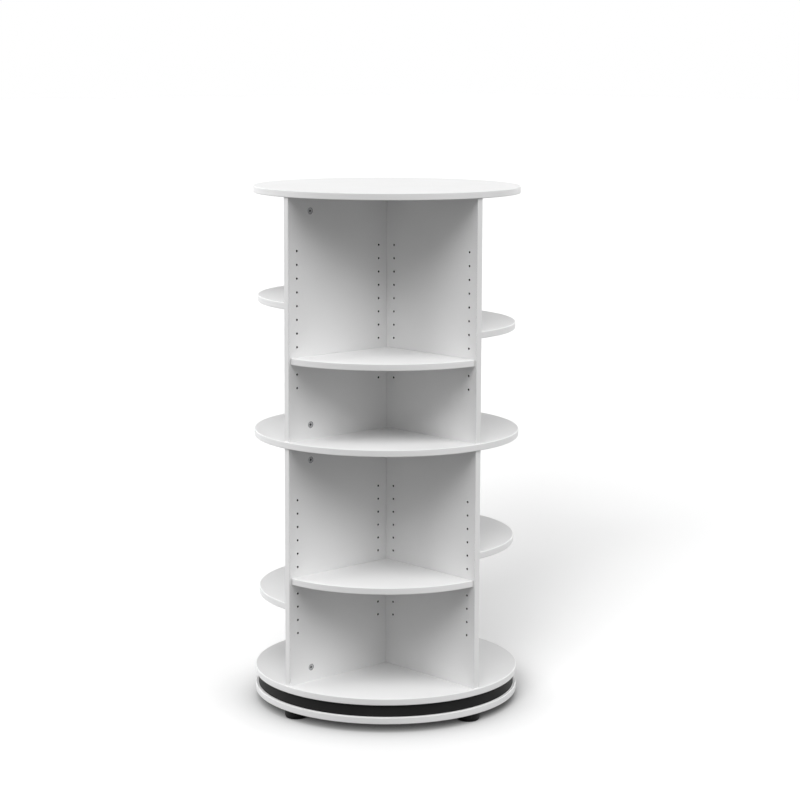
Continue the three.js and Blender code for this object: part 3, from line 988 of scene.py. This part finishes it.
class MEDIATOWER_OT_bearing(bpy.types.Operator):
    """Builds the ring bearing: two grooved races, the ball cage and its balls"""

    bl_idname = "media_tower.bearing"
    bl_label = "Ring bearing"

    def race(self, flat, grooved, inner, outer, ball_height, radius):
        """Outline of a race, flat on one side. On the other a groove runs along an arc round the
        ball's centre: radius times the sine and cosine of the angle from straight down or up."""
        depth = ball_height - grooved
        half = math.acos(abs(depth) / radius)
        turn = np.linspace(half, -half, BALL_STEPS + 1)
        groove = np.stack([(inner + outer) / 2 + radius * np.sin(turn),
                           ball_height - np.sign(depth) * radius * np.cos(turn)], 1)
        before = [[inner, flat], [outer, flat], [outer, grooved]]
        return np.concatenate([before, groove, [[inner, grooved]]])

    def execute(self, context):
        fittings = context.scene.tower_fittings
        ball_play = 0.3 * MILLIMETRE
        race_soft = 0.4 * MILLIMETRE
        cage_half_width = 6 * MILLIMETRE
        cage_half_height = 0.6 * MILLIMETRE
        cage_soft = 0.2 * MILLIMETRE
        ball_height = middle("bearing_ball_cage")[2]
        lower = high_corner("bearing_lower_race")
        outer = lower[0]
        inner = outer - RACE_WIDTH
        place = (inner + outer) / 2
        races = [("bearing_lower_race", "base", high_corner("spacer_disc")[2], lower[2]),
                 ("bearing_upper_race", "tower", low_corner("bottom_disc")[2],
                  2 * ball_height - lower[2])]
        for node, body, flat, grooved in races:
            corners = self.race(flat, grooved, inner, outer, ball_height, fittings.ball + ball_play)
            radii = np.zeros(len(corners))
            radii[[0, 1, 2, -1]] = race_soft
            shell = turned_shell(corners, radii, BEARING_SIDES)
            add_piece(f"{node}_ring", shell, ["plated_steel"], body, "bearing_steel", node)
        corners = rectangle(place - cage_half_width, place + cage_half_width,
                            ball_height - cage_half_height, ball_height + cage_half_height)
        cage = turned_shell(corners, [cage_soft] * 4, BEARING_SIDES)
        add_piece("bearing_cage_ring", cage, ["plated_steel"], "ball_cage", "bearing_steel",
                  "bearing_ball_cage")
        tilt = np.linspace(-np.pi / 2, np.pi / 2, BALL_STEPS + 1)
        ball = revolved(fittings.ball * np.stack([np.cos(tilt), np.sin(tilt)], 1), PIN_SIDES)
        centres = round_axis(place, ball_height, full_turn(fittings.ball_count))
        balls = Shell()
        balls.grid(ball[None] + centres[:, None, None], round_rows=True)
        add_piece("bearing_balls", balls, ["plated_steel"], "ball_cage", "bearing_steel",
                  "bearing_ball_cage")
        return {"FINISHED"}


# Half of the floor's side, width of the camera's sensor in millimetres, and rays per point that
# test how near the tower is to the floor
FLOOR_HALF = 60.0
SENSOR_WIDTH = 36
CONTACT_SAMPLES = 16

# Lamps: name, degrees round from the camera towards its right, degrees up, spread, strength
TOWER_LAMPS = (
    ("lamp_key", -9, 52, 40, 1.65),
    ("lamp_fill", 45, 40, 40, 0.12),
    ("lamp_right", 72, 36, 50, 1.45),
    ("lamp_left", -97, 21, 50, 1.9),
    ("lamp_front", 0, 12, 40, 0.25),
    ("lamp_back_right", 140, 5, 36, 0.85),
    ("lamp_back_left", -140, 5, 36, 0.85),
)
FLOOR_LAMPS = (
    ("floor_lamp_high", 0, 90, 100, 1.38),
    ("floor_lamp_middle", -5, 21, 26, 1.7),
    ("floor_lamp_left", -20, 24, 26, 2.1),
    ("floor_lamp_right", 60, 40, 50, 0.29),
    ("floor_lamp_back", 180, 40, 60, 0.21),
)


class MEDIATOWER_OT_stage(bpy.types.Operator):
    """Sets the camera, the lamps, the pale floor and the white surroundings"""

    bl_idname = "media_tower.stage"
    bl_label = "Stage"

    def execute(self, context):
        stage = context.scene.tower_stage
        self.camera(context.scene, stage)
        floor = self.floor(context.scene, stage)
        self.surroundings(context.scene, stage)
        self.lamps(context.scene, "tower_light", TOWER_LAMPS, floor, "EXCLUDE")
        self.lamps(context.scene, "floor_light", FLOOR_LAMPS, floor, "INCLUDE")
        context.scene.view_settings.view_transform = "Standard"
        return {"FINISHED"}

    def camera(self, scene, stage):
        """Camera from its place, pan, pitch and roll: its own axes are built from the line of
        sight, the level axis across it, and their cross product."""
        around = stage.camera_azimuth
        away = Vector((math.sin(around), -math.cos(around), 0))
        heading = around - stage.camera_pan
        level = Vector((-math.sin(heading), math.cos(heading), 0))
        sight = level * math.cos(stage.camera_pitch) - Vector((0, 0, math.sin(stage.camera_pitch)))
        across = sight.cross(Vector((0, 0, 1))).normalized()
        upward = across.cross(sight)
        roll = stage.camera_roll
        right = across * math.cos(roll) - upward * math.sin(roll)
        up = across * math.sin(roll) + upward * math.cos(roll)
        data = bpy.data.cameras.new("camera")
        data.sensor_width = SENSOR_WIDTH
        data.lens = stage.lens
        data.shift_y = stage.camera_shift
        holder = bpy.data.objects.new("camera", data)
        scene.collection.objects.link(holder)
        place = away * stage.camera_distance + Vector((0, 0, stage.camera_height))
        turn = Matrix((right, up, -sight)).transposed().to_4x4()
        holder.matrix_world = Matrix.Translation(place) @ turn
        scene.camera = holder

    def floor(self, scene, stage):
        """A wide floor. The camera and glossy rays see it white, with a soft shadow that deepens
        where the tower stands close above it. As a source of bounced light it is a dull grey."""
        corners = raised(rectangle(-FLOOR_HALF, FLOOR_HALF, -FLOOR_HALF, FLOOR_HALF), 0)
        mesh = bpy.data.meshes.new("floor")
        mesh.from_pydata(corners.tolist(), [], [(0, 1, 2, 3)])
        floor = bpy.data.objects.new("floor", mesh)
        scene.collection.objects.link(floor)
        material = bpy.data.materials.new("floor")
        material.use_nodes = True
        nodes = Nodes(material.node_tree)
        nodes.tree.nodes.clear()
        plain = nodes.add("BsdfDiffuse", Color=grey(stage.floor_bounce))
        contact = nodes.add("AmbientOcclusion", Color=grey(1), Distance=stage.contact_reach)
        contact.samples = CONTACT_SAMPLES
        depth = nodes.add("Gamma", Color=contact.outputs["Color"], Gamma=stage.contact_depth)
        seen = nodes.add("BsdfDiffuse", Color=depth.outputs["Color"])
        lift = nodes.add("Emission", Strength=stage.floor_lift)
        both = nodes.join("AddShader", seen.outputs[0], lift.outputs[0])
        choice = nodes.join("MixShader", nodes.seen_directly(), plain.outputs[0], both.outputs[0])
        nodes.join("OutputMaterial", choice.outputs[0])
        mesh.materials.append(material)
        return floor

    def surroundings(self, scene, stage):
        """White world for the camera and in gloss, and a dimmer one as light."""
        scene.world = bpy.data.worlds.new("surroundings")
        scene.world.use_nodes = True
        nodes = Nodes(scene.world.node_tree)
        strength = nodes.spread(nodes.seen_directly(), stage.world_strength, 1.0, 0.0, 1.0)
        nodes.feed(nodes.tree.nodes["Background"], Color=grey(1), Strength=strength)

    def lamps(self, scene, group, lamps, floor, link):
        """Soft lamps so far away that each lights everything evenly. They reach the floor alone,
        or everything but the floor."""
        reached = bpy.data.collections.new(group)
        reached.objects.link(floor)
        reached.collection_objects[0].light_linking.link_state = link
        for name, around, above, spread, strength in lamps:
            lamp = bpy.data.lights.new(name, "SUN")
            lamp.angle = math.radians(spread)
            lamp.energy = strength
            holder = bpy.data.objects.new(name, lamp)
            scene.collection.objects.link(holder)
            turn = scene.tower_stage.camera_azimuth + math.radians(around)
            rise = math.radians(above)
            away = Vector((math.sin(turn) * math.cos(rise), -math.cos(turn) * math.cos(rise),
                           math.sin(rise)))
            holder.rotation_euler = away.to_track_quat("Z", "Y").to_euler()
            holder.light_linking.receiver_collection = reached


OPERATORS = (
    MEDIATOWER_OT_round_boards, MEDIATOWER_OT_panels, MEDIATOWER_OT_shelves, MEDIATOWER_OT_cams,
    MEDIATOWER_OT_bolts, MEDIATOWER_OT_base, MEDIATOWER_OT_bearing, MEDIATOWER_OT_stage,
)


class MEDIATOWER_PT_sidebar(bpy.types.Panel):
    """Lists the tower's settings and the steps that build it"""

    bl_idname = "MEDIATOWER_PT_sidebar"
    bl_label = "Media tower"
    bl_space_type = "VIEW_3D"
    bl_region_type = "UI"
    bl_category = "Media tower"

    def draw(self, context):
        column = self.layout.column()
        for operator in OPERATORS:
            column.operator(operator.bl_idname)
        for settings in SETTINGS:
            group = getattr(context.scene, settings)
            for name in group.__annotations__:
                column.prop(group, name)


SETTINGS = {
    "tower_boards": BoardSizes, "tower_fittings": FittingSizes,
    "tower_finishes": FinishSettings, "tower_stage": StageSettings,
}


def register():
    for kind in (*SETTINGS.values(), *OPERATORS, MEDIATOWER_PT_sidebar):
        bpy.utils.register_class(kind)
    for name, kind in SETTINGS.items():
        setattr(bpy.types.Scene, name, PointerProperty(type=kind))


def unregister():
    for name in SETTINGS:
        delattr(bpy.types.Scene, name)
    for kind in (MEDIATOWER_PT_sidebar, *reversed(OPERATORS), *SETTINGS.values()):
        bpy.utils.unregister_class(kind)


def main():
    """Builds every piece and the stage."""
    register()
    for operator in OPERATORS:
        area, name = operator.bl_idname.split(".")
        getattr(getattr(bpy.ops, area), name)()


if __name__ == "__main__":
    main()
